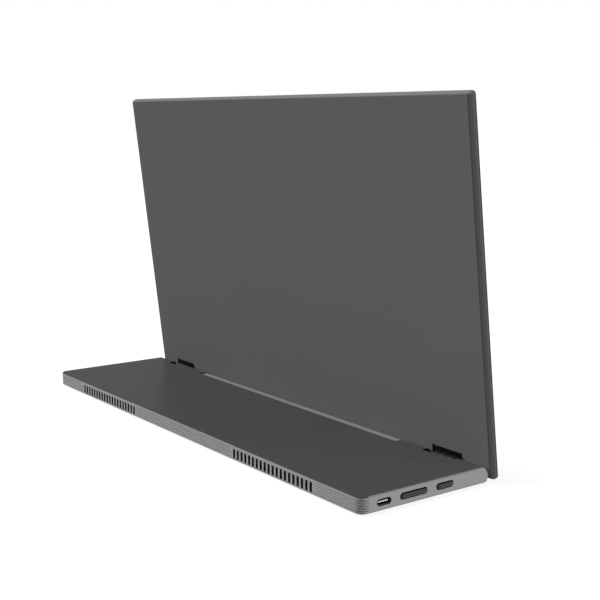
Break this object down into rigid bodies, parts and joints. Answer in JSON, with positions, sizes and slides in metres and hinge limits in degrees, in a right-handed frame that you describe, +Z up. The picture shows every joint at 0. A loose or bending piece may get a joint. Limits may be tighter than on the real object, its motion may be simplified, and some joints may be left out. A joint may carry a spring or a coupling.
{
  "type": "portable monitor",
  "caption": "Slim portable monitor whose display turns on friction hinges at the edge of a full-width base and folds flat onto it.",
  "frame": {"origin": "middle of the bounding box, on the plane that the rubber feet stand on", "axes": "+X along the width, away from the end with the socket and buttons; the screen faces -Y and the vented edge of the base faces +Y; +Z up"},
  "size_m": [0.355, 0.0948, 0.2098],
  "materials": {
    "housing_aluminium": "bead-blasted and clear anodised",
    "grey_plate": "dark grey anodised, fine satin",
    "grey_cover": "dark grey anodised, fine satin",
    "black_rubber": "matt",
    "black_plastic": "matt moulded",
    "button_grey": "satin moulded",
    "bright_steel": "bright",
    "dark_steel": "black zinc",
    "black_mesh": "matt black",
    "cover_glass": "anti-glare",
    "panel_glass": "polariser satin",
    "clear_acrylic": "polished",
    "white_film": "satin",
    "green_board": "solder mask",
    "black_chips": "moulded",
    "amber_cable": "polyimide film",
    "battery_foil": "laminated foil",
    "led_yellow": "phosphor",
    "grey_foam": "closed-cell foam"
  },
  "bodies": {
    "base": {"base_housing": "housing_aluminium", "top_plate": "grey_plate", "rubber_feet": "black_rubber", "housing_screws": "dark_steel", "vent_mesh": "black_mesh", "speaker_left": "black_plastic", "speaker_right": "black_plastic", "battery_pack": "battery_foil", "main_board": "green_board", "board_parts": "black_chips", "board_screws": "bright_steel", "usb_c_shell": "bright_steel", "usb_c_tongue": "black_plastic", "button_board": "green_board", "button_switches": "bright_steel", "display_cable": "amber_cable", "hinge_well_left": "black_plastic", "hinge_well_right": "black_plastic", "hinge_bracket_left": "dark_steel", "hinge_bracket_right": "dark_steel", "bracket_screws": "dark_steel", "hinge_pin_left": "bright_steel", "hinge_pin_right": "bright_steel", "friction_washers": "bright_steel"},
    "display": {"rear_cover": "grey_cover", "panel_frame": "black_plastic", "cover_glass": "cover_glass", "lcd_cell": "panel_glass", "optical_films": "white_film", "light_guide": "clear_acrylic", "reflector_sheet": "white_film", "led_bar": "led_yellow", "foam_strips": "grey_foam", "driver_board": "green_board", "panel_cable": "amber_cable", "hinge_arm_left": "dark_steel", "hinge_arm_right": "dark_steel", "arm_screws": "dark_steel"},
    "power_button": {"power_button": "button_grey"},
    "volume_rocker": {"volume_rocker": "button_grey"}
  },
  "joints": [
    {"name": "display_hinge", "type": "hinge", "parent": "base", "child": "display", "pos_m": [0, -0.03839, 0.0068], "axis": [1, 0, 0], "range_deg": [-83.26, 11.74]},
    {"name": "power_press", "type": "slide", "parent": "base", "child": "power_button", "axis": [1, 0, 0], "range_m": [0, 0.0004], "stiffness_N_per_m": 2000, "springref_m": -0.0001},
    {"name": "volume_rock", "type": "hinge", "parent": "base", "child": "volume_rocker", "pos_m": [-0.1713, 0.01201, 0.00575], "axis": [0, 0, 1], "range_deg": [-1.5, 1.5], "stiffness_Nm_per_rad": 0.2}
  ]
}
